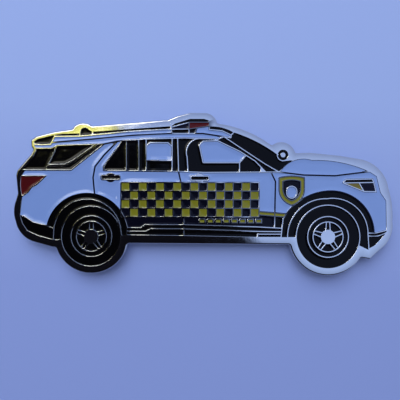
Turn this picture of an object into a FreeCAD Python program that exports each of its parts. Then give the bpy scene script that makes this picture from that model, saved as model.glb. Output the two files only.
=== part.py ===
import FreeCAD, Part
import math
import os

# A struck medallion in the outline of a police patrol car, coloured with soft enamel.
# It lies on its back: +Z points out of the picture side, +X is the way the car faces, and
# the origin is the middle of the back. The metal is one struck blank, on which thin raised
# lines stand between sunk cells. Each cell holds its own piece of enamel, which seats on the
# cell's floor and stops a little below the line tops.
#
# The artwork is drawn in millimetres at artwork_length and is enlarged or reduced as a whole
# to coin_length. Widths, depths and clearances stay as they are set here, whatever its size.

# --- the metal ---------------------------------------------------------------------------
coin_length = 76.0          # longest size of the finished coin
coin_thickness = 3.0        # from the back rim to the tops of the raised lines
corner_radius = 0.45        # least radius of the trimmed outline, at inner and outer corners
edge_break = 0.25           # chamfer round the trimmed edge, back and front
rim_width = 0.7             # least width of the polished rim round the enamel
line_width = 0.22           # raised line between two colours
cell_depth = 0.55           # from the line tops down to the floor of a cell
back_rim_width = 1.5        # polished rim round the sunk back
back_depth = 0.3            # sunk, sand-blasted back

# --- the enamel --------------------------------------------------------------------------
enamel_below_line = 0.12    # from the line tops down to the enamel
enamel_side_gap = 0.02      # clearance between enamel and cell wall

# --- the artwork -------------------------------------------------------------------------
artwork_length = 76.0       # length at which everything below is drawn
front_wheel = (25.0, -8.5)
rear_wheel = (-22.4, -8.4)
front_tyre_radius = 6.26
rear_tyre_radius = 5.9
wheel_rim_width = 1.5       # metal left outside each tyre
wheel_ring_radius = 4.08    # ring between tyre and wheel
spoke_ring_radius = 3.0     # ring round the spokes
hub_radius = 1.45           # polished hub disc
spoke_count = 5
spoke_width_at_hub = 0.9    # between the middles of a spoke's two lines
spoke_width_at_ring = 0.64
badge_width = 5.0
badge_border = 0.7
badge_centre_width = 2.0
badge_centre_height = 2.4
spot_lamp_radius = 1.15
spot_lamp_bulb_radius = 0.5
handle_height = 0.85
handle_cup_reach = 0.8      # from the middle of a handle to the top of the cup behind it
glint_width = 0.5           # broad raised streak across the quarter glass
chequer_columns = 16
chequer_rows = 4
chequer_square = 1.725      # pitch of the chequer band, line to line
block_count = 8             # small plain blocks under the chequer band
block_pitch = 1.62
block_length = 1.1
block_height = 0.72

band_left = -16.4
band_top = 2.4
band_right = band_left + chequer_columns * chequer_square
band_bottom = band_top - chequer_rows * chequer_square
block_first = (-0.2, -5.33)
badge_middle = (17.75, 0.95)
spot_lamp_middle = (16.0, 7.9)

scale = coin_length / artwork_length
floor_z = coin_thickness - cell_depth
enamel_top_z = coin_thickness - enamel_below_line


# --- drawing helpers ---------------------------------------------------------------------
# An outline or a raised line is a chain of steps. A step is (x, y), straight to that point,
# or (mid_x, mid_y, x, y), an arc through the first point to the second.
def at(x, y):
    return FreeCAD.Vector(x * scale, y * scale, 0)


def chain(steps):
    """The edges of a chain of steps."""
    ends = [at(*step[-2:]) for step in steps]
    edges = []
    for here, step, there in zip(ends, steps[1:], ends[1:]):
        if len(step) == 4:
            edges.append(Part.Arc(here, at(*step[:2]), there).toShape())
        else:
            edges.append(Part.LineSegment(here, there).toShape())
    return edges


def closed(steps):
    return steps + [steps[0][-2:]]


def area(steps):
    """Flat face inside a chain of steps, which is closed with a straight step."""
    return Part.Face(Part.Wire(chain(closed(steps))))


def disc(centre, radius, widening=0.0):
    circle = Part.Circle(at(*centre), FreeCAD.Vector(0, 0, 1), radius * scale + widening / 2)
    return Part.Face(Part.Wire([circle.toShape()]))


def ring(centre, radius, width):
    return disc(centre, radius, width).cut(disc(centre, radius, -width))


def half_width(edge, parameter, width):
    """Arrow from the middle of a raised line to its left side."""
    along = edge.tangentAt(parameter)
    return FreeCAD.Vector(-along.y, along.x, 0) * (width / 2)


def line_faces(steps, width, loop=False):
    """Flat faces of one raised line: joints of straight steps are mitred, other corners get a disc."""
    edges = chain(closed(steps) if loop else steps)
    sides = [[half_width(edge, edge.FirstParameter, width), half_width(edge, edge.LastParameter, width)]
             for edge in edges]
    faces = []
    for i in range(0 if loop else 1, len(edges)):
        before, after = sides[i - 1][1], sides[i][0]
        dot = before.dot(after) / (width / 2) ** 2
        if isinstance(edges[i].Curve, Part.Line) and isinstance(edges[i - 1].Curve, Part.Line):
            sides[i - 1][1] = sides[i][0] = (before + after) * (1 / (1 + dot))
        elif dot < 0.995:
            joint = edges[i].valueAt(edges[i].FirstParameter)
            circle = Part.Circle(joint, FreeCAD.Vector(0, 0, 1), width / 2)
            faces.append(Part.Face(Part.Wire([circle.toShape()])))
    for edge, (first, last) in zip(edges, sides):
        start = edge.valueAt(edge.FirstParameter)
        end = edge.valueAt(edge.LastParameter)
        if isinstance(edge.Curve, Part.Line):
            corners = [start - first, end - last, end + last, start + first, start - first]
            faces.append(Part.Face(Part.makePolygon(corners)))
            continue
        middle_at = (edge.FirstParameter + edge.LastParameter) / 2
        middle = edge.valueAt(middle_at)
        across = half_width(edge, middle_at, width)
        right = Part.Arc(start - first, middle - across, end - last).toShape()
        left = Part.Arc(end + last, middle + across, start + first).toShape()
        ends = [Part.LineSegment(end - last, end + last).toShape(),
                Part.LineSegment(start + first, start - first).toShape()]
        faces.append(Part.Face(Part.Wire([right, ends[0], left, ends[1]])))
    return faces


def beside_wheel(wheel, tyre_radius, degrees, gap):
    """Point at an angle round a wheel, at a gap outside its tyre."""
    turn = math.radians(degrees)
    reach = tyre_radius + gap
    return (wheel[0] + reach * math.cos(turn), wheel[1] + reach * math.sin(turn))


def arch(wheel, tyre_radius, rows):
    """Chain round a wheel. A row is (degrees, gap), or (mid degrees, mid gap, degrees, gap)."""
    steps = []
    for row in rows:
        step = beside_wheel(wheel, tyre_radius, *row[-2:])
        if len(row) == 4:
            step = beside_wheel(wheel, tyre_radius, *row[:2]) + step
        steps.append(step)
    return steps


def prism(face, bottom, top):
    """Solid of a flat face between two heights."""
    lifted = face.copy()
    lifted.translate(FreeCAD.Vector(0, 0, bottom))
    return lifted.extrude(FreeCAD.Vector(0, 0, top - bottom))


# --- artwork: outer edge of the coin -----------------------------------------------------
# The car body, with its bumps over the roof fin, the light bar and the spot lamp.
SILHOUETTE = [
    (-30.0, -10.6), (-33.6, -9.6), (-36.4, -7.9, -37.6, -5.4), (-37.95, -3.0, -37.5, -1.0),
    (-37.15, 0.2), (-37.5, 3.9), (-37.2, 4.9), (-34.6, 7.9), (-34.0, 9.1), (-34.4, 9.5),
    (-34.5, 10.9), (-33.4, 11.7), (-29.8, 12.6), (-26.2, 13.1),
    (-25.8, 13.7), (-24.1, 14.35, -22.2, 13.75),
    (-7.0, 15.0), (-5.2, 15.75), (-2.6, 16.4), (0.4, 16.35),
    (2.0, 15.75, 2.8, 14.3), (4.4, 14.0), (9.0, 12.6, 13.3, 10.2),
    (13.8, 9.9), (14.8, 10.4), (17.0, 10.2, 18.5, 8.3),
    (21.4, 8.4), (27.4, 7.8), (31.6, 7.1), (35.2, 5.2, 37.2, 1.3),
    (37.9, -2.0, 38.0, -5.4), (37.7, -8.2, 36.4, -10.3), (35.0, -11.5), (33.4, -13.0),
    (31.6, -12.7), (25.0, -10.1), (-14.6, -9.8), (-22.4, -9.8),
]

# --- artwork: wheel arches, tied to the tyres --------------------------------------------
REAR_ARCH_OUTER = [(166.6, 3.15), (95.3, 2.74, 14.0, 1.52), (1.0, 1.3)]
REAR_ARCH_INNER = [(168.0, 1.8), (96.0, 1.57, 12.0, 0.14)]
FRONT_ARCH_OUTER = [(181.0, 3.15), (158.2, 3.43), (121.8, 2.86, 86.3, 2.96), (45.0, 3.22, 5.0, 2.98)]
FRONT_ARCH_INNER = [(181.0, 1.84), (137.5, 1.74, 91.5, 1.39), (45.5, 1.95, 4.3, 1.76), (-18.5, 2.4)]
rear_arch_outer = arch(rear_wheel, rear_tyre_radius, REAR_ARCH_OUTER)
rear_arch_inner = arch(rear_wheel, rear_tyre_radius, REAR_ARCH_INNER)
front_arch_outer = arch(front_wheel, front_tyre_radius, FRONT_ARCH_OUTER)
front_arch_inner = arch(front_wheel, front_tyre_radius, FRONT_ARCH_INNER)
band_corners = [(band_left, band_top), (band_right, band_top), (band_right, band_bottom), (band_left, band_bottom)]

# --- artwork: raised lines of the body ---------------------------------------------------
# Where one of these runs into a wheel arch, the chequer band or the badge, it stops there.
BODY_LINES = {
    # roof, from the spoiler to the windscreen
    "roof_edge": [
        (-34.5, 10.1), (-34.4, 10.6), (-31.8, 11.95), (-29.8, 12.2), (-24.65, 12.3),
        (-24.55, 12.85), (-23.8, 13.45, -22.8, 13.0), (-22.1, 12.65),
        (-6.4, 13.75), (-5.6, 14.3), (-2.6, 15.2), (0.2, 15.2), (1.2, 14.9), (1.3, 13.7),
        (3.8, 13.45), (6.2, 12.5), (11.2, 10.4, 15.1, 7.9)],
    "rail_lower": [(-29.7, 11.6), (-24.7, 11.65), (-14.6, 12.6), (-6.35, 13.05)],
    "rail_front_lower": [(1.25, 13.65), (1.25, 13.0), (3.8, 12.75), (5.6, 11.9), (5.6, 11.35)],
    "windscreen_top": [(5.6, 11.85), (6.2, 12.5)],
    "fin_rear": [(-24.65, 12.3), (-24.65, 11.65)],
    "fin_front": [(-22.1, 12.65), (-22.1, 11.9)],
    "roof_ditch": [(-30.3, 10.4), (-22.0, 11.1), (-14.0, 11.85), (-6.2, 12.2), (0.0, 12.2), (5.6, 11.35)],
    "spoiler_lower": [(-34.5, 10.1), (-32.4, 9.95), (-30.5, 10.0), (-29.7, 11.6), (-29.8, 12.2)],
    # light bar on the roof
    "bar_rear": [(-6.4, 13.75), (-6.35, 13.05), (-6.2, 12.2)],
    "bar_cap_lower": [(-6.4, 13.45), (-4.0, 14.1), (-2.6, 14.45), (1.25, 14.45)],
    "bar_lens_split": [(-2.8, 14.4), (-2.8, 12.2)],
    "bar_lens_lower": [(-6.35, 13.05), (-2.8, 13.1), (-1.2, 13.35), (1.3, 13.7)],
    "bar_foot_front": [(-1.2, 13.35), (-1.6, 12.2)],
    # side windows
    "window_top": [
        (-34.3, 9.25), (-30.2, 9.25), (-29.2, 9.8), (-19.8, 10.1), (-17.2, 10.65),
        (-11.4, 11.1), (-3.8, 11.3), (2.2, 11.1)],
    "a_pillar_top": [(2.6, 10.9), (4.2, 11.55)],
    "a_pillar_inner": [(2.2, 11.1), (7.4, 8.6), (10.4, 6.7), (12.55, 4.5)],
    "a_pillar_outer": [(4.2, 11.55), (7.4, 9.4), (12.4, 6.1), (15.2, 4.5)],
    "belt_rear": [(-36.4, 4.9), (-26.4, 4.9)],
    "belt_doors": [(-19.9, 4.8), (-4.9, 4.6), (0.4, 4.4), (15.2, 4.5)],
    "tailgate_glass_edge": [(-29.2, 9.8), (-31.5, 4.9)],
    "quarter_glass_edge": [(-19.8, 10.1), (-26.4, 4.9)],
    "rear_window_edge": [(-16.1, 10.75), (-19.9, 5.6), (-19.9, 4.8)],
    "rear_window_bar": [(-15.4, 10.8), (-15.4, 4.75)],
    "rear_window_slide": [(-12.9, 11.0), (-12.9, 4.7)],
    "rear_glass_rear": [(-11.4, 11.1), (-11.4, 4.7)],
    "rear_glass_top": [(-11.4, 9.6), (-10.6, 10.35), (-7.0, 10.35), (-6.2, 9.6)],
    "rear_glass_lower": [(-11.4, 6.8), (-6.2, 6.8)],
    "rear_glass_front": [(-6.2, 11.25), (-6.2, 4.6)],
    "b_pillar_rear": [(-5.1, 11.25), (-4.9, 4.6)],
    "b_pillar_front": [(-0.6, 11.2), (-2.6, 10.3, -3.2, 7.5), (-3.0, 4.55)],
    "front_glass_rear": [(0.0, 6.35), (-0.75, 9.9), (0.0, 10.65), (2.9, 10.75)],
    "front_glass_lower": [(0.0, 6.35), (7.3, 6.35), (8.6, 7.8)],
    "mirror_rear": [(7.3, 6.35), (7.3, 4.45)],
    "mirror_front": [(11.6, 5.5), (11.6, 4.45)],
    "cowl": [(15.2, 4.5), (18.2, 6.9)],
    # doors and body side
    "rear_door_edge": [(-17.1, 10.65), (-19.8, 7.9), (-21.6, 5.6), (-22.0, 3.4), (-21.6, -1.0)],
    "door_gap_upper": [(-4.9, 4.6), (-4.4, 2.3)],
    "door_gap_lower": [(-3.9, -4.4), (-3.9, -8.3)],
    "front_door_edge": [(13.6, 4.5), (14.5, 2.6), (14.3, -6.7)],
    "stripe_upper": [(11.0, -3.4), (19.0, -4.05)],
    "stripe_lower": [(11.0, -4.05), (19.0, -4.75)],
    # bonnet, nose and lamps
    "bonnet_top": [(15.8, 6.7), (17.4, 6.9), (21.8, 6.95), (28.0, 6.4, 33.4, 4.6)],
    "bonnet_crease": [(15.2, 4.5), (20.2, 3.9), (26.4, 3.75), (33.4, 4.6)],
    "nose": [
        (33.4, 4.6), (34.8, 3.7), (35.6, 0.4), (36.7, -1.2), (36.8, -7.6),
        (36.0, -8.6), (34.4, -10.3), beside_wheel(front_wheel, front_tyre_radius, -16.5, 2.3)],
    "lamp_brow": [(28.0, 2.3), (28.6, 3.0), (33.9, 3.1), (34.15, 2.4)],
    "lamp_top": [(28.0, 2.3), (34.15, 2.4)],
    "lamp_lower": [(28.0, 2.3), (32.2, 0.6), (34.6, 0.55), (34.15, 2.4)],
    "lamp_split": [(31.2, 2.35), (32.2, 0.6)],
    # tail
    "tail": [(-35.7, 4.9), (-36.5, 3.7), (-36.6, 1.7), (-36.3, -0.4), (-36.7, -4.2), (-36.2, -5.8),
             (-35.2, -7.3), (-33.0, -8.3), (-30.0, -9.1)],
    "tail_lamp_edge": [(-36.5, 3.7), (-31.5, 3.7), (-33.3, 2.0), (-34.3, 1.5), (-35.0, 0.5), (-36.3, -0.4)],
    "rear_bumper_top": [(-36.7, -4.2), (-35.8, -4.4), (-34.0, -5.6), (-31.1, -6.3)],
    # sill
    "sill_upper": [(-18.0, -6.7), (-12.6, -6.7), (-11.6, -6.05), (-3.9, -6.1), (11.0, -6.5), (19.0, -6.95)],
    "sill_middle": [(-18.0, -7.4), (-11.4, -7.4), (-10.6, -6.9), (-3.9, -6.95), (11.0, -7.4), (20.0, -7.5)],
    "sill_lower": [(-18.0, -8.1), (-3.9, -8.3), (10.4, -8.6), (20.0, -8.6)],
    "step_box": [(10.9, -8.6), (10.9, -7.95), (20.0, -7.95)],
}

# raised lines inside the wheel arches, which stop at the tyres
ARCH_LINES = {
    "rear_arch_rear_end": [rear_arch_outer[0], rear_arch_inner[0], (-30.0, -9.1), (-26.0, -9.1)],
    "rear_arch_front_end": [(-18.0, -8.1), rear_arch_outer[-1]],
    "front_arch_rear_end": [front_arch_outer[0], (20.0, -8.6)],
    "front_liner_lower": [(30.0, -9.7), front_arch_inner[-1]],
    "lip_upper": [beside_wheel(front_wheel, front_tyre_radius, 5.6, 1.78), (34.6, -7.7), (36.75, -7.15)],
    "lip_middle": [beside_wheel(front_wheel, front_tyre_radius, 1.4, 1.84), (35.0, -8.3), (36.75, -7.6)],
}

# closed raised lines, each round one small cell
half_badge = badge_width / 2
HANDLES = [(-18.5, 3.4, 3.75), (-0.65, 3.25, 3.65)]     # middle x, middle y, length
WHEELS = {"front": (front_wheel, front_tyre_radius), "rear": (rear_wheel, rear_tyre_radius)}


def handle(x, y, length):
    """Outline of a door handle, a bar with its corners cut off."""
    half, high, low, cut = length / 2, y + handle_height / 2, y - handle_height / 2, handle_height / 4
    return [(x - half + cut, high), (x + half - cut, high), (x + half, high - cut), (x + half, low + cut),
            (x + half - cut, low), (x - half + cut, low), (x - half, low + cut), (x - half, high - cut)]


def handle_cup(x, y, side):
    """Raised rim of the finger cup above (1) or below (-1) a door handle, which stays bare metal."""
    edge = y + side * handle_height / 2
    return [(x - handle_cup_reach, edge), (x, y + side * handle_cup_reach, x + handle_cup_reach, edge)]


def shield(inset):
    """Outline of a plain heater shield, inset all round by about the given amount."""
    x, y = badge_middle
    half, bulge = half_badge - inset, (half_badge - inset) * 0.8
    top, side, shoulder, tip = y + 2.4 - inset, y + 0.3, y - 1.6 + inset * 0.7, y - 3.05 + inset * 1.2
    return [(x - half, top), (x, top + 0.3, x + half, top), (x + half, side),
            (x + bulge, shoulder, x, tip), (x - bulge, shoulder, x - half, side)]


def badge_centre():
    """Outline of the plain egg shape low on the badge."""
    x, y, half, high = badge_middle[0], badge_middle[1] - 0.5, badge_centre_width / 2, badge_centre_height / 2
    return [(x - half, y), (x, y + high, x + half, y), (x, y - high, x - half, y)]


def block(index):
    """Outline of one small block under the chequer band."""
    x = block_first[0] + index * block_pitch
    y = block_first[1]
    return [(x - block_length / 2, y - block_height / 2), (x + block_length / 2, y - block_height / 2),
            (x + block_length / 2, y + block_height / 2), (x - block_length / 2, y + block_height / 2)]


def wheel_lines(wheel, tyre_radius, width):
    """Rings, hub and paired spoke lines of one wheel."""
    faces = [ring(wheel, tyre_radius + line_width / 2 / scale, width),
             ring(wheel, wheel_ring_radius, width),
             ring(wheel, spoke_ring_radius, width),
             disc(wheel, hub_radius, width - line_width)]
    for spoke in range(spoke_count):
        turn = math.pi / 2 + spoke * 2 * math.pi / spoke_count
        out = (math.cos(turn), math.sin(turn))
        for side in (-1, 1):
            ends = []
            for reach, spread in ((hub_radius - 0.2, spoke_width_at_hub), (spoke_ring_radius, spoke_width_at_ring)):
                offset = side * spread / 2
                ends.append((wheel[0] + reach * out[0] - offset * out[1], wheel[1] + reach * out[1] + offset * out[0]))
            faces += line_faces(ends, width)
    return faces


# --- artwork: the cells of each enamel piece, by one point inside each cell ----------------
CELLS = {
    "roof_panel": [(-15.0, 12.2), (3.0, 12.4)],
    "cant_rail": [(-20.0, 10.75)],
    "roof_rails": [(-27.0, 11.93), (-14.0, 12.93), (3.0, 13.15)],
    "antenna_fin": [(-23.5, 12.6)],
    "rear_spoiler": [(-32.0, 11.0)],
    "light_bar_cap": [(-1.5, 14.82)],
    "light_bar_front_lens": [(-0.8, 13.9)],
    "light_bar_rear_lens": [(-3.8, 13.6)],
    "light_bar_feet": [(-4.5, 12.65), (-2.2, 12.7)],
    "tailgate_glass": [(-33.0, 6.5)],
    "quarter_glass": [(-27.5, 8.0), (-29.5, 5.3)],
    "rear_window_frame": [(-17.5, 6.5), (-14.2, 8.0), (-12.1, 8.0), (-9.0, 10.75), (-9.0, 5.6), (-5.6, 8.0)],
    "rear_side_glass": [(-9.0, 8.5)],
    "b_pillar": [(-4.3, 8.0)],
    "front_window_frame": [(-2.0, 6.0)],
    "front_side_glass": [(3.0, 8.5)],
    "a_pillar": [(8.6, 8.2)],
    "windscreen": [(11.0, 8.6)],
    "door_mirror": [(9.5, 5.6)],
    "rear_quarter": [(-27.0, 2.5)],
    "rear_door": [(-12.0, 3.5)],
    "front_door": [(6.0, 3.5)],
    "front_wing": [(23.5, 2.0)],
    "bonnet": [(25.0, 5.2)],
    "front_lip": [(34.0, -8.0), (34.6, -9.2)],
    "headlamp_lens": [(33.3, 1.5)],
    "headlamp_brow": [(31.5, 2.7)],
    "turn_signal": [(30.9, 1.8)],
    "tail_lamp": [(-34.5, 2.8)],
    "rear_bumper": [(-33.0, -7.0)],
    "rear_door_lower": [(-9.0, -5.2)],
    "front_door_lower": [(-2.5, -5.2)],
    "front_wing_lower": [(15.0, -5.7)],
    "side_stripe": [(13.0, -3.85), (14.9, -4.0)],
    "sill_trim": [(-8.0, -6.45), (5.0, -6.75)],
    "sill": [(-8.0, -7.6), (5.0, -7.9), (14.0, -8.28)],
    "badge_border": [(badge_middle[0] - half_badge + badge_border / 2, 2.0)],
    "badge_field": [(badge_middle[0], badge_middle[1] + 1.2)],
    "badge_centre": [(badge_middle[0], badge_middle[1] - 0.5)],
    "door_handles": [row[:2] for row in HANDLES],
    "spot_lamp": [(spot_lamp_middle[0] + (spot_lamp_radius + spot_lamp_bulb_radius) / 2, spot_lamp_middle[1])],
    "rear_arch": [beside_wheel(rear_wheel, rear_tyre_radius, 96.0, 2.15)],
    "front_arch": [beside_wheel(front_wheel, front_tyre_radius, 90.0, 2.2)],
    "rear_arch_liner": [beside_wheel(rear_wheel, rear_tyre_radius, 110.0, 0.9)],
    "front_arch_liner": [beside_wheel(front_wheel, front_tyre_radius, 90.0, 0.8)],
    "small_yellow_blocks": [(block_first[0] + i * block_pitch, block_first[1]) for i in range(block_count)],
    "chequer_yellow": [],
    "chequer_navy": [],
}
for column in range(chequer_columns):
    for row in range(chequer_rows):
        middle = (band_left + (column + 0.5) * chequer_square, band_top - (row + 0.5) * chequer_square)
        CELLS["chequer_navy" if (column + row) % 2 else "chequer_yellow"].append(middle)
for end, (wheel, tyre_radius) in WHEELS.items():
    window_reach = (hub_radius + spoke_ring_radius) / 2
    CELLS[end + "_tyre"] = [(wheel[0], wheel[1] + (tyre_radius + wheel_ring_radius) / 2)]
    CELLS[end + "_wheel_rim"] = [(wheel[0], wheel[1] + (wheel_ring_radius + spoke_ring_radius) / 2)]
    CELLS[end + "_wheel_spokes"] = []
    CELLS[end + "_wheel_windows"] = []
    for half_turn in range(2 * spoke_count):
        turn = math.pi / 2 + half_turn * math.pi / spoke_count
        name = end + ("_wheel_windows" if half_turn % 2 else "_wheel_spokes")
        CELLS[name].append((wheel[0] + window_reach * math.cos(turn), wheel[1] + window_reach * math.sin(turn)))


# --- outline -------------------------------------------------------------------------------
def rounded(face, radius):
    """The same outline with every corner, inner and outer, rounded to the given radius."""
    return face.makeOffset2D(radius).makeOffset2D(-2 * radius).makeOffset2D(radius).Faces[0]


# The car body and the two wheel discs are joined as solids, and the bottom face is taken.
joined = prism(area(SILHOUETTE), 0, 1)
joined = joined.fuse([prism(disc(wheel, tyre_radius + wheel_rim_width), 0, 1)
                      for wheel, tyre_radius in WHEELS.values()]).removeSplitter()
blank_face = rounded([face for face in joined.Faces if face.BoundBox.ZMax < 0.001][0], corner_radius)
coin_middle = blank_face.BoundBox.Center


def save(shape, name):
    """Write one node, moved so that the middle of the coin is at the origin."""
    moved = shape.copy()
    moved.translate(FreeCAD.Vector(-coin_middle.x, -coin_middle.y, 0))
    moved.exportStep("parts/%s.step" % name)


# --- cells -----------------------------------------------------------------------------------
def raised_lines(widening):
    """Every raised line as flat faces, each wider than its real width by the given amount."""
    width = line_width + widening
    overlays = [area(band_corners), area(shield(0)),
                area(rear_arch_outer + [beside_wheel(rear_wheel, rear_tyre_radius, 270.0, 0)]),
                area(front_arch_outer + [beside_wheel(front_wheel, front_tyre_radius, 270.0, 0)])]
    arches = [disc(wheel, tyre_radius) for wheel, tyre_radius in WHEELS.values()]
    faces = []
    for steps in BODY_LINES.values():
        faces += [face.cut(overlays) for face in line_faces(steps, width)]
    for steps in ARCH_LINES.values():
        faces += [face.cut(arches) for face in line_faces(steps, width)]
    for steps in (rear_arch_inner, rear_arch_outer, front_arch_inner):
        faces += line_faces(steps, width)
    faces += [face.cut(overlays[1]) for face in line_faces(front_arch_outer, width)]
    for wheel, tyre_radius in WHEELS.values():
        faces += wheel_lines(wheel, tyre_radius, width)
    for loop in [handle(*row) for row in HANDLES] + [shield(0), shield(badge_border)]:
        faces += line_faces(loop, width, loop=True)
    for x, y, length in HANDLES:
        faces += line_faces(handle_cup(x, y, 1), width) + line_faces(handle_cup(x, y, -1), width)
    for index in range(block_count):
        faces += line_faces(block(index), width, loop=True)
    for column in range(chequer_columns + 1):
        x = band_left + column * chequer_square
        faces += line_faces([(x, band_top), (x, band_bottom)], width)
    for row in range(chequer_rows + 1):
        y = band_top - row * chequer_square
        faces += line_faces([(band_left, y), (band_right, y)], width)
    faces += line_faces(badge_centre(), width)
    faces.append(ring(spot_lamp_middle, spot_lamp_radius, width))
    faces.append(disc(spot_lamp_middle, spot_lamp_bulb_radius, widening))
    faces += line_faces([(-31.1, 5.8), (-27.6, 5.9), (-26.0, 6.7), (-21.3, 9.95)], glint_width + widening)
    return faces


def cell_faces(widening):
    """Flat cells between the raised lines, each smaller by half the widening all round."""
    field = blank_face.makeOffset2D(-rim_width - widening / 2)
    return field.cut(raised_lines(widening)).Faces


def cells_at(faces, points):
    """The cells that the points lie in. A cell that two points share is an open line."""
    found = []
    for x, y in points:
        inside = [i for i, face in enumerate(faces) if face.isInside(at(x, y), 1e-4, True)]
        if len(inside) != 1 or inside[0] in taken:
            raise ValueError("no cell of its own at %.2f, %.2f" % (x, y))
        taken.add(inside[0])
        found.append(faces[inside[0]])
    return found


os.makedirs("parts", exist_ok=True)
pocket_faces = cell_faces(0)
enamel_faces = cell_faces(2 * enamel_side_gap)
pockets = []
taken = set()
for name, points in CELLS.items():
    pockets += [prism(face, floor_z, coin_thickness + 1) for face in cells_at(pocket_faces, points)]
taken = set()
for name, points in CELLS.items():
    fills = [prism(face, floor_z, enamel_top_z) for face in cells_at(enamel_faces, points)]
    save(fills[0] if len(fills) == 1 else Part.makeCompound(fills), name)

# --- metal body --------------------------------------------------------------------------
body = prism(blank_face, 0, coin_thickness)
body = body.makeChamfer(edge_break, [edge for edge in body.Edges if edge.BoundBox.ZLength < 0.001])
body = body.cut(prism(blank_face.makeOffset2D(-back_rim_width), 0, back_depth))
body = body.cut(pockets)
save(body, "coin_body")
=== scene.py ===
import bpy
import bmesh
import math
import numpy as np
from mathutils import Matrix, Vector
from mathutils.geometry import delaunay_2d_cdt
from mathutils.kdtree import KDTree


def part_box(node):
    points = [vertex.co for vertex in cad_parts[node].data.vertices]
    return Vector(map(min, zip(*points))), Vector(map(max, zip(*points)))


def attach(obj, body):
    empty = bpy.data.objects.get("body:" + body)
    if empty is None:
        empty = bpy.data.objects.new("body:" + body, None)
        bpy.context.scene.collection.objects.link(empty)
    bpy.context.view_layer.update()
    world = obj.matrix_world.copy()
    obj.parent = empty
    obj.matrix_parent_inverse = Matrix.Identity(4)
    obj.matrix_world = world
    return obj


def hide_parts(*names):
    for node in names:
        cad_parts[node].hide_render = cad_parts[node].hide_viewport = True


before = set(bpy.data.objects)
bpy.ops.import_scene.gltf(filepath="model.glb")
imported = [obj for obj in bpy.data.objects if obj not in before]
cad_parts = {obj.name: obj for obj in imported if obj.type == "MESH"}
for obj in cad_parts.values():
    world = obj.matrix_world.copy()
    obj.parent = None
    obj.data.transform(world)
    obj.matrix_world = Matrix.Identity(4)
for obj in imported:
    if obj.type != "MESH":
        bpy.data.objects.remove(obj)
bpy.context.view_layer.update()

# --- struck metal ------------------------------------------------------------------------
# The medallion is one zinc-alloy blank, cast with thin raised lines between sunk cells,
# then tumbled and plated with bright nickel. Tumbling rounds every edge a little, most of
# all the trimmed outline. The sunk back is blasted with fine sand before plating.
MM = 0.001
floor_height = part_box("bonnet")[0].z / MM
line_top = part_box("coin_body")[1].z / MM
enamel_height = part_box("bonnet")[1].z / MM


def colour(code):
    """Linear colour of an sRGB hex code."""
    channels = [int(code[i:i + 2], 16) / 255 for i in (1, 3, 5)]
    return tuple(c / 12.92 if c <= 0.04045 else ((c + 0.055) / 1.055) ** 2.4
                 for c in channels) + (1.0,)


def add(tree, kind, inputs=None, **settings):
    """A new node with its settings. Each input gets a value or another node's output."""
    node = tree.nodes.new(kind)
    for name, value in settings.items():
        setattr(node, name, value)
    for name, value in (inputs or {}).items():
        if isinstance(value, bpy.types.NodeSocket):
            tree.links.new(value, node.inputs[name])
        else:
            node.inputs[name].default_value = value
    return node


def new_material(name):
    material = bpy.data.materials.new(name)
    material.use_nodes = True
    material.node_tree.nodes.clear()
    return material


def finish_material(material, surface):
    add(material.node_tree, "ShaderNodeOutputMaterial", {"Surface": surface.outputs["BSDF"]})
    return material


def area_inside(loop):
    after = np.roll(loop, -1, 0)
    return float(np.sum(loop[:, 0] * after[:, 1] - after[:, 0] * loop[:, 1]) / 2)


def sharp_outlines(node, height):
    """Closed outlines, in mm and turning left, of a CAD node's sharp edges at one height.
    The largest comes first."""
    same_spot, same_height, sharp_angle = 1e-7, 1e-3, 0.3
    shape = bmesh.new()
    shape.from_mesh(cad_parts[node].data)
    bmesh.ops.remove_doubles(shape, verts=shape.verts, dist=same_spot)
    beside = {}
    for edge in shape.edges:
        level = all(abs(corner.co.z / MM - height) < same_height for corner in edge.verts)
        if level and len(edge.link_faces) == 2 and edge.calc_face_angle(0) > sharp_angle:
            for corner in edge.verts:
                beside.setdefault(corner, []).append(edge.other_vert(corner))
    loops = []
    while beside:
        loop, here = [], next(iter(beside))
        while here in beside:
            loop.append(here.co.xy / MM)
            step = beside[here].pop()
            beside[step].remove(here)
            for corner in (here, step):
                if not beside[corner]:
                    del beside[corner]
            here = step
        if len(loop) > 2:
            loop = np.array([tuple(corner) for corner in loop])
            loops.append(loop if area_inside(loop) > 0 else loop[::-1])
    shape.free()
    return sorted(loops, key=area_inside, reverse=True)


def finely_divided(loop, turn=math.radians(7.5), longest=1.1):
    """The same outline with its arcs, which the CAD mesh gives as equal chords, divided finely."""
    least_bend, most_bend, length_slack = 0.01, 0.7, 0.03
    count = len(loop)
    chord = np.roll(loop, -1, 0) - loop
    length = np.hypot(chord[:, 0], chord[:, 1])
    heading = np.arctan2(chord[:, 1], chord[:, 0])
    bend = (heading - np.roll(heading, 1) + math.pi) % (2 * math.pi) - math.pi
    corners = []
    for i in range(count):
        turns = []
        for other, corner in ((i - 1, i), ((i + 1) % count, (i + 1) % count)):
            alike = abs(length[other] - length[i]) < length_slack * length[i]
            if alike and least_bend < abs(bend[corner]) < most_bend:
                turns.append(bend[corner])
        arc = sum(turns) / len(turns) if turns and min(turns) * max(turns) > 0 else 0.0
        pieces = max(math.ceil(abs(arc) / turn), math.ceil(length[i] / longest), 1)
        ahead = chord[i] / length[i]
        aside = np.array([-chord[i][1], chord[i][0]]) / length[i]
        for piece in range(pieces):
            share = piece / pieces
            point = loop[i] + chord[i] * share
            if arc:
                reach = length[i] / 2 / math.sin(arc / 2)
                lean = arc * (share - 0.5)
                middle = loop[i] + chord[i] / 2 + aside * reach * math.cos(arc / 2)
                point = middle + reach * (ahead * math.sin(lean) - aside * math.cos(lean))
            corners.append(point)
    return np.array(corners)


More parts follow.
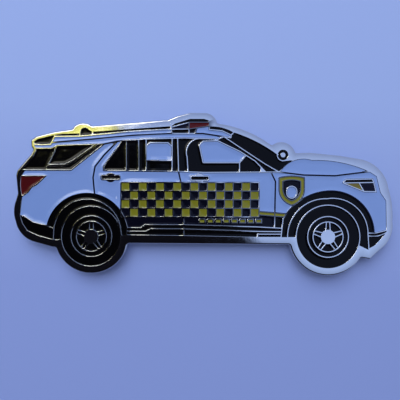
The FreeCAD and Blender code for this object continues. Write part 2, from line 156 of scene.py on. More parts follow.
def moved_left(loop, distance):
    """Outline moved to its left, so inwards, with its corners mitred."""
    tightest_mitre = 0.35
    before = loop - np.roll(loop, 1, 0)
    after = np.roll(loop, -1, 0) - loop
    sides = [np.stack([-run[:, 1], run[:, 0]], 1) / np.hypot(run[:, 0], run[:, 1])[:, None]
             for run in (before, after)]
    mitre = np.maximum(1 + np.sum(sides[0] * sides[1], 1), tightest_mitre)[:, None]
    return loop + distance * (sides[0] + sides[1]) / mitre


def surrounds(loop, corner):
    """Whether a corner lies inside an outline."""
    x, y = corner
    after = np.roll(loop, -1, 0)
    crossed = (loop[:, 1] > y) != (after[:, 1] > y)
    rise = np.where(crossed, after[:, 1] - loop[:, 1], 1.0)
    reach = loop[:, 0] + (y - loop[:, 1]) / rise * (after[:, 0] - loop[:, 0])
    return bool(np.sum(crossed & (reach > x)) % 2)


def inner_rings(outlines, steps):
    """Outlines moved into the flat area that they bound, by each step. An outline that lies
    in a hole is an island's."""
    rings = []
    for loop in outlines:
        around = sum(surrounds(other, loop[0]) for other in outlines if other is not loop)
        for step in steps:
            rings.append(moved_left(loop[::-1] if around % 2 else loop, step))
    return rings


def flat_fill(outlines, rings=(), points=(), holes=False):
    """Corners and triangles of the flat area that outlines bound, or of the holes in it."""
    whole_area, same_spot = 0, 1e-5
    corners, edges, faces = [], [], []
    for loop in outlines:
        faces.append(list(range(len(corners), len(corners) + len(loop))))
        corners += [Vector(corner) for corner in loop]
    for loop in rings:
        ids = list(range(len(corners), len(corners) + len(loop)))
        edges += list(zip(ids, ids[1:] + ids[:1]))
        corners += [Vector(corner) for corner in loop]
    corners += [Vector(corner) for corner in points]
    found, _, triangles, _, _, inside = delaunay_2d_cdt(
        corners, edges, faces, whole_area, same_spot, True)
    kept = [tuple(triangle) for triangle, owners in zip(triangles, inside)
            if owners and len(owners) % 2 != holes]
    return found, kept


def split_at(loop, fill):
    """The same outline with the corners that a fill's rings put on it where they cross it."""
    on_line, off_corner = 1.3e-5, 1e-4
    spots = np.array([tuple(corner) for corner in fill[0]])
    corners = []
    for start, end in zip(loop, np.roll(loop, -1, 0)):
        run = end - start
        length = math.hypot(*run)
        along = (spots - start) @ run / length
        aside = np.abs((spots - start) @ np.array([-run[1], run[0]])) / length
        between = along[(aside < on_line) & (along > off_corner) & (along < length - off_corner)]
        corners += [start] + [start + run * reach / length for reach in sorted(between)]
    return np.array(corners)


def add_flat(shape, fill, height):
    """Puts a flat fill into a mesh at a height."""
    found, triangles = fill
    made = {}
    for triangle in triangles:
        for i in triangle:
            if i not in made:
                made[i] = shape.verts.new((found[i].x, found[i].y, height))
        shape.faces.new([made[i] for i in triangle])


def add_wall(shape, loop, bottom, top):
    """Upright wall along an outline."""
    low = [shape.verts.new((x, y, bottom)) for x, y in loop]
    high = [shape.verts.new((x, y, top)) for x, y in loop]
    for i in range(len(loop)):
        after = (i + 1) % len(loop)
        shape.faces.new((low[i], low[after], high[after], high[i]))


def closed_piece(name, shape, material):
    """Welds a mesh drawn in mm, turns its faces outwards and makes it an object in metres."""
    same_spot = 1e-4
    bmesh.ops.remove_doubles(shape, verts=shape.verts, dist=same_spot)
    bmesh.ops.recalc_face_normals(shape, faces=shape.faces)
    for corner in shape.verts:
        corner.co *= MM
    mesh = bpy.data.meshes.new(name)
    shape.to_mesh(mesh)
    shape.free()
    mesh.materials.append(material)
    piece = bpy.data.objects.new(name, mesh)
    bpy.context.scene.collection.objects.link(piece)
    return piece


def new_shape_tree(name, inputs):
    """A Geometry Nodes tree and its inputs: the mesh, and others given by name and kind."""
    tree = bpy.data.node_groups.new(name, "GeometryNodeTree")
    tree.is_modifier = True
    for label, kind in [("Geometry", "Geometry")] + inputs:
        tree.interface.new_socket(label, in_out="INPUT", socket_type="NodeSocket" + kind)
    tree.interface.new_socket("Geometry", in_out="OUTPUT", socket_type="NodeSocketGeometry")
    return tree, add(tree, "NodeGroupInput").outputs


def shaped(piece, tree, values):
    """Runs a Geometry Nodes tree on a piece and keeps the result as its plain mesh."""
    crease = math.radians(50)
    modifier = piece.modifiers.new("shape", "NODES")
    modifier.node_group = tree
    for socket in tree.interface.items_tree:
        if socket.name in values:
            modifier[socket.identifier] = values[socket.name]
    evaluated = piece.evaluated_get(bpy.context.evaluated_depsgraph_get())
    mesh = bpy.data.meshes.new_from_object(evaluated)
    piece.modifiers.clear()
    old = piece.data
    piece.data = mesh
    mesh.name = piece.name
    bpy.data.meshes.remove(old)
    mesh.shade_smooth()
    mesh.set_sharp_from_angle(angle=crease)


# Bright nickel over polished zinc: a clear mirror, with faint tumbling haze in patches of
# about 4 mm, a 2 mm ripple and hairlines 0.1 mm wide. The raised lines inside the rim are
# painted paler, a painted highlight for the light their rounded tops catch, and a line
# between two pale panels is painted dark, a painted shade for the shading along it.
bright_nickel = new_material("Bright nickel plate")
tree = bright_nickel.node_tree
place = add(tree, "ShaderNodeTexCoord").outputs["Object"]
haze = add(tree, "ShaderNodeTexNoise", {
    "Vector": place, "Scale": 260.0, "Detail": 4.0, "Roughness": 0.6})
gloss = add(tree, "ShaderNodeMapRange", {
    "Value": haze.outputs["Fac"], "From Min": 0.3, "From Max": 0.7, "To Min": 0.03, "To Max": 0.08})
tone = add(tree, "ShaderNodeValToRGB", {"Fac": haze.outputs["Fac"]})
tone.color_ramp.elements[0].color = colour("#c9c9cc")
tone.color_ramp.elements[1].color = colour("#dddcdb")
painted_sheen = add(tree, "ShaderNodeAttribute", attribute_name="painted_sheen").outputs["Fac"]
painted_shade = add(tree, "ShaderNodeAttribute", attribute_name="painted_shade").outputs["Fac"]
# Painted highlight: raised lines inside the rim get a paler plate colour than the rim.
tops = add(tree, "ShaderNodeMix", {
    "Factor": painted_sheen, 6: tone.outputs["Color"], 7: colour("#f6f6f4")}, data_type="RGBA")
# Painted shade: a line between two pale panels is painted dark, a line beside yellow less so.
plate = add(tree, "ShaderNodeMix", {
    "Factor": painted_shade, 6: tops.outputs[2], 7: colour("#2b2e3a")}, data_type="RGBA")
turned = add(tree, "ShaderNodeMapping", {
    "Vector": place, "Rotation": (0, 0, 0.6), "Scale": (9000, 500, 500)})
hairs = add(tree, "ShaderNodeTexNoise", {
    "Vector": turned.outputs["Vector"], "Scale": 1.0, "Detail": 3.0})
ripple = add(tree, "ShaderNodeTexNoise", {"Vector": place, "Scale": 420.0, "Detail": 2.0})
scratched = add(tree, "ShaderNodeBump", {
    "Height": hairs.outputs["Fac"], "Strength": 0.05, "Distance": 0.00002})
uneven = add(tree, "ShaderNodeBump", {
    "Height": ripple.outputs["Fac"], "Strength": 0.14, "Distance": 0.00006,
    "Normal": scratched.outputs["Normal"]})
finish_material(bright_nickel, add(tree, "ShaderNodeBsdfPrincipled", {
    "Base Color": plate.outputs[2], "Metallic": 1.0, "Roughness": gloss.outputs["Result"],
    "Normal": uneven.outputs["Normal"]}))

# The same plate over a sand-blasted field: pits about 0.15 mm across scatter the light.
blasted_nickel = new_material("Sand-blasted nickel plate")
tree = blasted_nickel.node_tree
place = add(tree, "ShaderNodeTexCoord").outputs["Object"]
pits = add(tree, "ShaderNodeTexNoise", {
    "Vector": place, "Scale": 6500.0, "Detail": 3.0, "Roughness": 0.7})
tone = add(tree, "ShaderNodeValToRGB", {"Fac": pits.outputs["Fac"]})
tone.color_ramp.elements[0].color = colour("#a9a9ab")
tone.color_ramp.elements[1].color = colour("#cbcac8")
grain = add(tree, "ShaderNodeBump", {
    "Height": pits.outputs["Fac"], "Strength": 0.8, "Distance": 0.00008})
finish_material(blasted_nickel, add(tree, "ShaderNodeBsdfPrincipled", {
    "Base Color": tone.outputs["Color"], "Metallic": 1.0, "Roughness": 0.42,
    "Normal": grain.outputs["Normal"]}))

# Geometry Nodes: the flat metal beside a marked sharp edge falls away in a quarter round.
same_level = 1e-6
rounding, given = new_shape_tree("Tumbled edge", [
    ("Edge Mark", "String"), ("Flat Height", "Float"), ("Edge Radius", "Float"),
    ("Fall", "Float"), ("Plating", "Material")])
mark = add(rounding, "GeometryNodeInputNamedAttribute", {"Name": given["Edge Mark"]},
           data_type="BOOLEAN")
edge = add(rounding, "GeometryNodeSeparateGeometry", {
    "Geometry": given["Geometry"], "Selection": mark.outputs["Attribute"]}, domain="EDGE")
near = add(rounding, "GeometryNodeProximity", {"Geometry": edge.outputs["Selection"]},
           target_element="EDGES")
share = add(rounding, "ShaderNodeMath", {
    0: near.outputs["Distance"], 1: given["Edge Radius"]}, operation="DIVIDE", use_clamp=True)
away = add(rounding, "ShaderNodeMath", {0: 1.0, 1: share.outputs["Value"]}, operation="SUBTRACT")
squared = add(rounding, "ShaderNodeMath", {0: away.outputs["Value"], 1: 2.0}, operation="POWER")
across = add(rounding, "ShaderNodeMath", {0: 1.0, 1: squared.outputs["Value"]},
             operation="SUBTRACT")
arc = add(rounding, "ShaderNodeMath", {0: across.outputs["Value"]}, operation="SQRT")
drop = add(rounding, "ShaderNodeMath", {0: arc.outputs["Value"], 1: 1.0}, operation="SUBTRACT")
fall = add(rounding, "ShaderNodeMath", {0: drop.outputs["Value"], 1: given["Edge Radius"]},
           operation="MULTIPLY")
signed = add(rounding, "ShaderNodeMath", {0: fall.outputs["Value"], 1: given["Fall"]},
             operation="MULTIPLY")
offset = add(rounding, "ShaderNodeCombineXYZ", {"Z": signed.outputs["Value"]})
place = add(rounding, "ShaderNodeSeparateXYZ", {
    "Vector": add(rounding, "GeometryNodeInputPosition").outputs["Position"]})
flat = add(rounding, "FunctionNodeCompare", {
    "A": place.outputs["Z"], "B": given["Flat Height"], "Epsilon": same_level}, operation="EQUAL")
lowered = add(rounding, "GeometryNodeSetPosition", {
    "Geometry": given["Geometry"], "Selection": flat.outputs["Result"],
    "Offset": offset.outputs["Vector"]})
plain = add(rounding, "GeometryNodeRealizeInstances", {"Geometry": lowered.outputs["Geometry"]})
plated = add(rounding, "GeometryNodeSetMaterial", {
    "Geometry": plain.outputs["Geometry"], "Material": given["Plating"]})
add(rounding, "NodeGroupOutput", {"Geometry": plated.outputs["Geometry"]})


def search_tree(points):
    """Finds the point nearest to a place."""
    tree = KDTree(len(points))
    for i, point in enumerate(points):
        tree.insert(point, i)
    tree.balance()
    return tree


def dotted(loops, spacing=0.08):
    """Search tree of points set closely along outlines."""
    points = []
    for loop in loops:
        for start, end in zip(loop, np.roll(loop, -1, 0)):
            count = max(math.ceil(math.hypot(*(end - start)) / spacing), 1)
            points += [start + (end - start) * i / count for i in range(count)]
    return search_tree([(x, y, 0) for x, y in points])


def mark_edge(piece, name, loops, height):
    """Marks the corners of a piece that lie on outlines at a height."""
    same_spot = 0.002 * MM
    tree = search_tree([(x * MM, y * MM, height * MM) for loop in loops for x, y in loop])
    mark = piece.data.attributes.new(name, "BOOLEAN", "POINT")
    mark.data.foreach_set("value", [tree.find(corner.co)[2] < same_spot
                                    for corner in piece.data.vertices])


# Outlines of the blank: the trimmed edge, every cell and island, and the sunk back.
chamfer = 0.25
recess_height = 0.3
edge_round = 0.3
line_round = 0.04
recess_round = 0.1
outline = finely_divided(sharp_outlines("coin_body", line_top - chamfer)[0])
cells = [finely_divided(loop) for loop in sharp_outlines("coin_body", line_top)[1:]]
recess = finely_divided(sharp_outlines("coin_body", 0.0)[-1])

shape = bmesh.new()
rim_shares = (0.08, 0.22, 0.42, 0.68, 1.0, 1.06)
rim_rings = [moved_left(outline, edge_round * share) for share in rim_shares]
line_steps = (0.4 * line_round, line_round, 1.25 * line_round)
line_rings = inner_rings([outline] + cells, line_steps)[len(line_steps):]
top = flat_fill([outline] + cells, rim_rings + line_rings)
cells = [split_at(cell, top) for cell in cells]
add_flat(shape, top, line_top)
add_flat(shape, flat_fill([outline] + cells, holes=True), floor_height)
for cell in cells:
    add_wall(shape, cell, floor_height, line_top)
add_wall(shape, outline, 0.0, line_top)
back_steps = (0.04, recess_round)
back_rings = inner_rings([outline, recess], back_steps)[len(back_steps):]
back = flat_fill([outline, recess], rim_rings + back_rings)
recess = split_at(recess, back)
add_flat(shape, back, 0.0)
add_wall(shape, recess, 0.0, recess_height)
add_flat(shape, flat_fill([recess]), recess_height)
metal = closed_piece("struck_metal", shape, bright_nickel)
for name, loops, height, radius, fall in (
        ("trimmed_front", [outline], line_top, edge_round, 1.0),
        ("trimmed_back", [outline], 0.0, edge_round, -1.0),
        ("line_edges", cells, line_top, line_round, 1.0),
        ("recess_edge", [recess], 0.0, recess_round, -1.0)):
    mark_edge(metal, name, loops, height)
    shaped(metal, rounding, {
        "Edge Mark": name, "Flat Height": height * MM, "Edge Radius": radius * MM, "Fall": fall,
        "Plating": bright_nickel})
    metal.data.attributes.remove(metal.data.attributes[name])

# The painted highlight on the lines starts inside the rim. Painted shade darkens a line that
# is narrow enough between two pale panels, and more lightly a line beside yellow.
sheen_free_rim, sheen_fade = 0.6, 0.2
between_panels, beside_yellow, painted_shade_beside_yellow = 0.33, 0.28, 0.8
panels = ("bonnet front_wing front_door rear_door rear_quarter roof_panel cant_rail "
          "front_arch rear_arch")
pale = [dotted(sharp_outlines(node, enamel_height)) for node in panels.split()]
yellows = "chequer_yellow small_yellow_blocks side_stripe badge_border light_bar_front_lens"
gilt = [dotted(sharp_outlines(node, enamel_height)) for node in yellows.split()]
trimmed = dotted([outline])
painted_sheen, painted_shade = [], []
# Painted highlight and painted shade shares for each corner of the metal.
for corner in metal.data.vertices:
    spot = (corner.co.x / MM, corner.co.y / MM, 0)
    painted_sheen.append(min(max((trimmed.find(spot)[2] - sheen_free_rim) / sheen_fade, 0), 1))
    between = sum(sorted(tree.find(spot)[2] for tree in pale)[:2]) < between_panels
    beside = min(tree.find(spot)[2] for tree in gilt) < beside_yellow
    painted_shade.append(1.0 if between else painted_shade_beside_yellow if beside else 0.0)
for name, shares in (("painted_sheen", painted_sheen), ("painted_shade", painted_shade)):
    metal.data.attributes.new(name, "FLOAT", "POINT").data.foreach_set("value", shares)
same_height, downwards = 0.01, -0.9
metal.data.materials.append(blasted_nickel)
for face in metal.data.polygons:
    in_recess = abs(face.center.z / MM - recess_height) < same_height
    if in_recess and face.normal.z < downwards:
        face.material_index = 1
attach(metal, "root")
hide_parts("coin_body")

# --- white enamel ------------------------------------------------------------------------
# Soft enamel is a coloured liquid filled into each cell by syringe and baked hard. It shrinks
# below the line tops, but still climbs a little where it wets the metal, so that every cell
# is a shallow dish. The painted panels and what shows through the side windows are white.

# Geometry Nodes: the dish. Height falls off with distance from the cell's edge, in a narrow
# lip against the wall and an even bevel inside it.
fold_angle = 1.0
dish, given = new_shape_tree("Enamel dish", [
    (label, "Float") for label in ("Fill Height", "Rise", "Reach", "Bowl Rise", "Bowl Reach",
                                   "Sag", "Ripple", "Ripple Scale")] + [("Enamel", "Material")])
where = add(dish, "GeometryNodeInputPosition").outputs["Position"]
place = add(dish, "ShaderNodeSeparateXYZ", {"Vector": where})
flat = add(dish, "FunctionNodeCompare", {
    "A": place.outputs["Z"], "B": given["Fill Height"], "Epsilon": same_level}, operation="EQUAL")
fold = add(dish, "FunctionNodeCompare", {
    "A": add(dish, "GeometryNodeInputMeshEdgeAngle").outputs["Unsigned Angle"],
    "B": fold_angle}, operation="GREATER_THAN")
brim = add(dish, "FunctionNodeBooleanMath", {
    0: flat.outputs["Result"], 1: fold.outputs["Result"]}, operation="AND")
edge = add(dish, "GeometryNodeSeparateGeometry", {
    "Geometry": given["Geometry"], "Selection": brim.outputs["Boolean"]}, domain="EDGE")
near = add(dish, "GeometryNodeProximity", {"Geometry": edge.outputs["Selection"]},
           target_element="EDGES")
toward = add(dish, "ShaderNodeMath", {0: near.outputs["Distance"], 1: -1.0}, operation="MULTIPLY")
apart = add(dish, "ShaderNodeMath", {0: toward.outputs["Value"], 1: given["Reach"]},
            operation="DIVIDE")
fade = add(dish, "ShaderNodeMath", {0: apart.outputs["Value"]}, operation="EXPONENT")
bowl = add(dish, "ShaderNodeMapRange", {
    "Value": near.outputs["Distance"], "From Max": given["Bowl Reach"], "To Min": 1.0,
    "To Max": 0.0})
lip = add(dish, "ShaderNodeMath", {0: fade.outputs["Value"], 1: given["Rise"]},
          operation="MULTIPLY")
climb = add(dish, "ShaderNodeMath", {
    0: bowl.outputs["Result"], 1: given["Bowl Rise"], 2: lip.outputs["Value"]},
    operation="MULTIPLY_ADD")
inner = add(dish, "ShaderNodeMath", {0: 1.0, 1: fade.outputs["Value"]}, operation="SUBTRACT")
waves = add(dish, "ShaderNodeTexNoise", {
    "Vector": where, "Scale": given["Ripple Scale"], "Detail": 1.0})
swing = add(dish, "ShaderNodeMath", {0: waves.outputs["Fac"], 1: 0.5}, operation="SUBTRACT")
swell = add(dish, "ShaderNodeMath", {0: swing.outputs["Value"], 1: given["Ripple"]},
            operation="MULTIPLY")
sunk = add(dish, "ShaderNodeMath", {0: swell.outputs["Value"], 1: given["Sag"]},
           operation="SUBTRACT")
middle = add(dish, "ShaderNodeMath", {0: sunk.outputs["Value"], 1: inner.outputs["Value"]},
             operation="MULTIPLY")
height = add(dish, "ShaderNodeMath", {0: climb.outputs["Value"], 1: middle.outputs["Value"]},
             operation="ADD")
offset = add(dish, "ShaderNodeCombineXYZ", {"Z": height.outputs["Value"]})
kept = add(dish, "GeometryNodeStoreNamedAttribute", {
    "Geometry": given["Geometry"], "Name": "from_edge", "Value": fade.outputs["Value"]},
    data_type="FLOAT", domain="POINT")
dished = add(dish, "GeometryNodeSetPosition", {
    "Geometry": kept.outputs["Geometry"], "Selection": flat.outputs["Result"],
    "Offset": offset.outputs["Vector"]})
plain = add(dish, "GeometryNodeRealizeInstances", {"Geometry": dished.outputs["Geometry"]})
coated = add(dish, "GeometryNodeSetMaterial", {
    "Geometry": plain.outputs["Geometry"], "Material": given["Enamel"]})
add(dish, "NodeGroupOutput", {"Geometry": coated.outputs["Geometry"]})


def baked_enamel(name, middle, edge, roughness, wall=None, ior=1.5):
    """Gloss enamel: a pigment colour, a paler one towards the cell wall that is a painted
    highlight for the light a rising lip catches, a painted shade line in the last few
    hundredths of a millimetre beside the wall of a pale fill, and a glassy skin with a peel
    of about 0.8 mm. Pigment settles in patches of about 3 mm."""
    material = new_material(name)
    tree = material.node_tree
    place = add(tree, "ShaderNodeTexCoord").outputs["Object"]
    settling = add(tree, "ShaderNodeTexNoise", {"Vector": place, "Scale": 330.0, "Detail": 3.0})
    near = add(tree, "ShaderNodeAttribute", attribute_name="from_edge")
    sway = add(tree, "ShaderNodeMath", {0: settling.outputs["Fac"], 1: 0.35},
               operation="MULTIPLY")
    share = add(tree, "ShaderNodeMath", {0: near.outputs["Fac"], 1: sway.outputs["Value"]},
                operation="ADD", use_clamp=True)
    # Painted highlight: the colour turns paler towards the cell wall.
    pigment = add(tree, "ShaderNodeMix", {
        "Factor": share.outputs["Value"], 6: colour(middle), 7: colour(edge)}, data_type="RGBA")
    # Painted shade: a dark line along the wall of a pale fill.
    if wall:
        painted_shade_line = add(tree, "ShaderNodeMapRange", {
            "Value": near.outputs["Fac"], "From Min": 0.66, "From Max": 0.76})
        pigment = add(tree, "ShaderNodeMix", {
            "Factor": painted_shade_line.outputs["Result"], 6: pigment.outputs[2], 7: colour(wall)},
            data_type="RGBA")
    haze = add(tree, "ShaderNodeTexNoise", {"Vector": place, "Scale": 900.0, "Detail": 2.0})
    skin = add(tree, "ShaderNodeMapRange", {
        "Value": haze.outputs["Fac"], "From Min": 0.3, "From Max": 0.75,
        "To Min": roughness, "To Max": roughness + 0.09})
    peel = add(tree, "ShaderNodeTexNoise", {"Vector": place, "Scale": 1300.0, "Detail": 2.0})
    relief = add(tree, "ShaderNodeBump", {
        "Height": peel.outputs["Fac"], "Strength": 0.3, "Distance": 0.00002})
    return finish_material(material, add(tree, "ShaderNodeBsdfPrincipled", {
        "Base Color": pigment.outputs[2], "Roughness": skin.outputs["Result"], "IOR": ior,
        "Normal": relief.outputs["Normal"]}))


def fill_cells(nodes, material, lip_rise=0.01, bowl_rise=0.03, bowl_reach=0.4):
    """One filled piece for each CAD node, spread to the cell walls and dished. Rings follow
    the wall inwards where nothing else of it is nearer, and a grid fills the middle."""
    spread = 0.014
    spacing = 0.45
    row_share = 0.866
    ring_steps = (0.05, 0.11, 0.19, 0.3, 0.4, 0.55, 0.7, 0.8)
    ring_slack = 0.95
    grid_gap = 0.3
    lip_reach = 0.12
    sag, ripple, ripples_per_metre = 0.02, 0.02, 350.0
    for node in nodes.split():
        cell_edges = [finely_divided(loop) for loop in sharp_outlines(node, enamel_height)]
        wetted = inner_rings(cell_edges, (-spread,))
        wetted = [loop if area_inside(loop) > 0 else loop[::-1] for loop in wetted]
        low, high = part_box(node)
        across = np.arange(low.x / MM, high.x / MM, spacing)
        along = np.arange(low.y / MM, high.y / MM, spacing * row_share)
        grid = [(x + spacing / 2 * (row % 2), y) for row, y in enumerate(along) for x in across]
        wall_dots = dotted(wetted)
        rings = []
        for step in ring_steps:
            for ring in inner_rings(wetted, (step,)):
                clear = [tuple(corner) for corner in ring
                         if wall_dots.find((*corner, 0))[2] > ring_slack * step]
                if len(clear) > 2:
                    rings.append(clear)
        taken = search_tree([(x, y, 0) for loop in rings + wetted for x, y in loop])
        grid = [corner for corner in grid if taken.find((*corner, 0))[2] > grid_gap]
        top = flat_fill(wetted, rings, grid)
        wetted = [split_at(loop, top) for loop in wetted]
        shape = bmesh.new()
        add_flat(shape, top, enamel_height)
        add_flat(shape, flat_fill(wetted), floor_height)
        for loop in wetted:
            add_wall(shape, loop, floor_height, enamel_height)
        piece = closed_piece(node + "_enamel", shape, material)
        shaped(piece, dish, {
            "Fill Height": enamel_height * MM, "Rise": lip_rise * MM, "Reach": lip_reach * MM,
            "Bowl Rise": bowl_rise * MM, "Bowl Reach": bowl_reach * MM, "Sag": sag * MM,
            "Ripple": ripple * MM, "Ripple Scale": ripples_per_metre, "Enamel": material})
        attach(piece, "root")
        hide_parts(node)


# White soft enamel, as a cool sky colours it: even and glassy, with a painted shade line at
# the wall. Its dish is the deepest, and its bevel catches the light along the raised lines.
white_enamel = baked_enamel("White soft enamel", "#6a86c6", "#7590d0", 0.07, wall="#1a2138")
fill_cells("bonnet front_wing front_door rear_door rear_quarter roof_panel cant_rail "
           "front_side_glass rear_side_glass badge_centre", white_enamel,
           lip_rise=0.025, bowl_rise=0.09, bowl_reach=0.75)

# --- black enamel: glass, trim and underbody ---------------------------------------------
# Everything dark on the car is one gloss black fill: the tinted glass and its frames, the
# roof rails and fin, mirror, handles, bumpers, sill and wheel arches.

# Black soft enamel: so dark that little shows in it but faint reflections.
black_enamel = baked_enamel("Black soft enamel", "#030305", "#06060a", 0.05, ior=1.25)
fill_cells("quarter_glass", black_enamel, bowl_rise=0.06, bowl_reach=0.5)
fill_cells("windscreen a_pillar b_pillar front_window_frame rear_window_frame tailgate_glass "
           "roof_rails antenna_fin rear_spoiler light_bar_cap light_bar_feet spot_lamp "
           "door_mirror door_handles headlamp_brow front_lip rear_bumper front_arch rear_arch "
           "front_arch_liner rear_arch_liner front_wing_lower sill sill_trim",
           black_enamel)

# --- black enamel: tyres and wheels ------------------------------------------------------
# The wheels don't turn. They are rings, spokes and a hub of raised metal with black between.
fill_cells("front_tyre rear_tyre front_wheel_rim rear_wheel_rim front_wheel_windows "
           "rear_wheel_windows front_wheel_spokes rear_wheel_spokes",
           black_enamel)

# --- police chequer, stripe and badge ----------------------------------------------------
# A plain navy and yellow chequer band on the doors, with navy lower doors, a thin yellow
# stripe, a row of small yellow blocks, and a blank shield on the wing.

# Navy soft enamel reads almost black. Yellow looks olive under a cool sky.
navy_enamel = baked_enamel("Navy soft enamel", "#060714", "#0a0c1c", 0.05, ior=1.25)
yellow_enamel = baked_enamel("Yellow soft enamel", "#63651a", "#73762a", 0.07, ior=1.4)
fill_cells("chequer_navy rear_door_lower front_door_lower badge_field", navy_enamel)
fill_cells("chequer_yellow side_stripe small_yellow_blocks badge_border", yellow_enamel)

# --- lamps -------------------------------------------------------------------------------
# Red for the tail lamp and the front half of the light bar, amber for the indicator, and
# smoky grey for the rest of the light bar and the headlamp glass.

# Red, amber and smoke grey soft enamel: deep colours under the same glassy skin.
red_enamel = baked_enamel("Red soft enamel", "#3a0c11", "#4a1318", 0.06, ior=1.3)
amber_enamel = baked_enamel("Amber soft enamel", "#56501e", "#646026", 0.06)
smoke_enamel = baked_enamel("Smoke grey soft enamel", "#08091a", "#0e1026", 0.05, ior=1.25)
fill_cells("tail_lamp light_bar_front_lens", red_enamel)
fill_cells("turn_signal", amber_enamel)
fill_cells("headlamp_lens light_bar_rear_lens", smoke_enamel)

# --- table, light and camera -------------------------------------------------------------
# The medallion lies on a pale card, and a soft box on the far side lights it, with the rest
# coming evenly from a grey room. What the metal mirrors hangs above it: a pale blue sky, a
# dark flag, a warm card and a window. Behind everything stands a plain pale backdrop.

# Pale matt card: a soft surface with 0.4 mm fibres, a little darker towards the front, which is
# painted shade for the light falling off.
card = new_material("Pale matt card")
tree = card.node_tree
place = add(tree, "ShaderNodeTexCoord").outputs["Object"]
mottle = add(tree, "ShaderNodeTexNoise", {"Vector": place, "Scale": 30.0, "Detail": 4.0})
along = add(tree, "ShaderNodeSeparateXYZ", {"Vector": place})
stray = add(tree, "ShaderNodeMath", {0: mottle.outputs["Fac"], 1: 0.012}, operation="MULTIPLY")
grade = add(tree, "ShaderNodeMath", {0: along.outputs["Y"], 1: stray.outputs["Value"]},
            operation="ADD")
# Painted shade: the card's colour darkens towards the front.
painted_falloff = add(tree, "ShaderNodeMapRange", {
    "Value": grade.outputs["Value"], "From Min": -0.012, "From Max": 0.026})
tint = add(tree, "ShaderNodeMix", {
    "Factor": painted_falloff.outputs["Result"], 6: colour("#7c90d0"), 7: colour("#8ca2dc")},
    data_type="RGBA")
fibres = add(tree, "ShaderNodeTexNoise", {"Vector": place, "Scale": 2500.0, "Detail": 3.0})
relief = add(tree, "ShaderNodeBump", {
    "Height": fibres.outputs["Fac"], "Strength": 0.1, "Distance": 0.00005})
finish_material(card, add(tree, "ShaderNodeBsdfPrincipled", {
    "Base Color": tint.outputs[2], "Roughness": 0.75, "Normal": relief.outputs["Normal"]}))
table_reach = 1.5
table_mesh = bpy.data.meshes.new("table")
table_mesh.from_pydata([(x * table_reach, y * table_reach, 0)
                        for x, y in ((-1, -1), (1, -1), (1, 1), (-1, 1))], [], [(0, 1, 2, 3)])
table_mesh.materials.append(card)
table = bpy.data.objects.new("table", table_mesh)
bpy.context.scene.collection.objects.link(table)

camera_height = 0.07
sky = bpy.data.worlds.new("studio")
bpy.context.scene.world = sky
sky.use_nodes = True
tree = sky.node_tree
tree.nodes.clear()
toward = add(tree, "ShaderNodeSeparateXYZ", {
    "Vector": add(tree, "ShaderNodeTexCoord").outputs["Generated"]})
upward = add(tree, "ShaderNodeMath", {0: toward.outputs["Z"], 1: 0.05}, operation="MAXIMUM")
side = [add(tree, "ShaderNodeMath", {0: toward.outputs[axis], 1: upward.outputs["Value"]},
            operation="DIVIDE") for axis in "XY"]
# Metres to the right and away, on a ceiling as far above the metal as the camera is.
right, away = [add(tree, "ShaderNodeMath", {0: part.outputs["Value"], 1: camera_height},
                   operation="MULTIPLY").outputs["Value"] for part in side]
# The flag's edge runs aslant, and the warm card's edge along the roof. Low round the metal,
# the room is dark on the flag's side and pale on the other.
flag_edge = add(tree, "ShaderNodeMath", {0: away, 1: 1.2, 2: right}, operation="MULTIPLY_ADD")
roofline = add(tree, "ShaderNodeMath", {0: right, 1: -0.17, 2: away}, operation="MULTIPLY_ADD")
across = add(tree, "ShaderNodeMath", {0: toward.outputs["Y"], 1: 1.2, 2: toward.outputs["X"]},
             operation="MULTIPLY_ADD")
past = {}
for name, distance, start, end in (
        ("flag", flag_edge.outputs["Value"], -0.0005, 0.003),
        ("front", away, -0.004, -0.011),
        ("card far", roofline.outputs["Value"], 0.0150, 0.0160),
        ("card left", right, -0.015, -0.019),
        ("window far", away, 0.0155, 0.0168),
        ("window left", right, -0.009, -0.013),
        ("room", across.outputs["Value"], -0.15, 0.25)):
    past[name] = add(tree, "ShaderNodeMapRange", {
        "Value": distance, "From Min": start, "From Max": end},
        interpolation_type="SMOOTHSTEP").outputs["Result"]
warm, window = [add(tree, "ShaderNodeMath", {0: past[thing + " far"], 1: past[thing + " left"]},
                    operation="MULTIPLY").outputs["Value"] for thing in ("card", "window")]
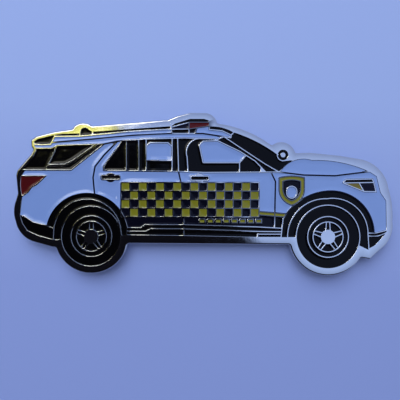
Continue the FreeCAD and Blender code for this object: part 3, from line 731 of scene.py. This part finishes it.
low = add(tree, "ShaderNodeMapRange", {
    "Value": toward.outputs["Z"], "From Min": 0.80, "From Max": 0.72}).outputs["Result"]
ray = add(tree, "ShaderNodeLightPath")
# Each thing is laid over the one before it by its share. Gloss sees what hangs there,
# plain surfaces are lit by grey, and the camera sees the backdrop.
seen = {}
for name, under, share, over in (
        ("sky", (0.33, 0.44, 0.78, 1), past["front"], (0.36, 0.49, 0.85, 1)),
        ("flag", (0.0045, 0.0045, 0.0075, 1), past["flag"], "sky"),
        ("card", "flag", warm, (1.0, 0.96, 0.27, 1)),
        ("window", "card", window, (6.0, 6.0, 5.6, 1)),
        ("room", (0.02, 0.02, 0.03, 1), past["room"], (0.36, 0.46, 0.74, 1)),
        ("mirrored", "window", low, "room"),
        ("lighting", (0.36, 0.36, 0.36, 1), ray.outputs["Is Glossy Ray"], "mirrored"),
        ("backdrop", "lighting", ray.outputs["Is Camera Ray"], (0.50, 0.58, 0.86, 1))):
    seen[name] = add(tree, "ShaderNodeMix", {
        "Factor": share, 6: seen.get(under, under), 7: seen.get(over, over)},
        data_type="RGBA").outputs[2]
backdrop = add(tree, "ShaderNodeBackground", {"Color": seen["backdrop"], "Strength": 1.0})
add(tree, "ShaderNodeOutputWorld", {"Surface": backdrop.outputs["Background"]})

box_place = Vector((-0.08, 0.32, 0.42))
box_side = 0.5
box = bpy.data.lights.new("soft_box", "AREA")
box.shape = "RECTANGLE"
box.size = box_side
box.size_y = box_side
box.energy = 3.1
soft_box = bpy.data.objects.new("soft_box", box)
soft_box.location = box_place
soft_box.rotation_euler = box_place.to_track_quat("Z", "Y").to_euler()
soft_box.visible_glossy = False
bpy.context.scene.collection.objects.link(soft_box)

view_width = 0.08
off_centre = (-0.00065, -0.00117)
lens = bpy.data.cameras.new("camera")
lens.lens = lens.sensor_width * camera_height / view_width
lens.clip_start = 0.01
camera = bpy.data.objects.new("camera", lens)
camera.location = (*off_centre, line_top * MM + camera_height)
bpy.context.scene.collection.objects.link(camera)
bpy.context.scene.camera = camera
bpy.context.scene.view_settings.view_transform = "Standard"
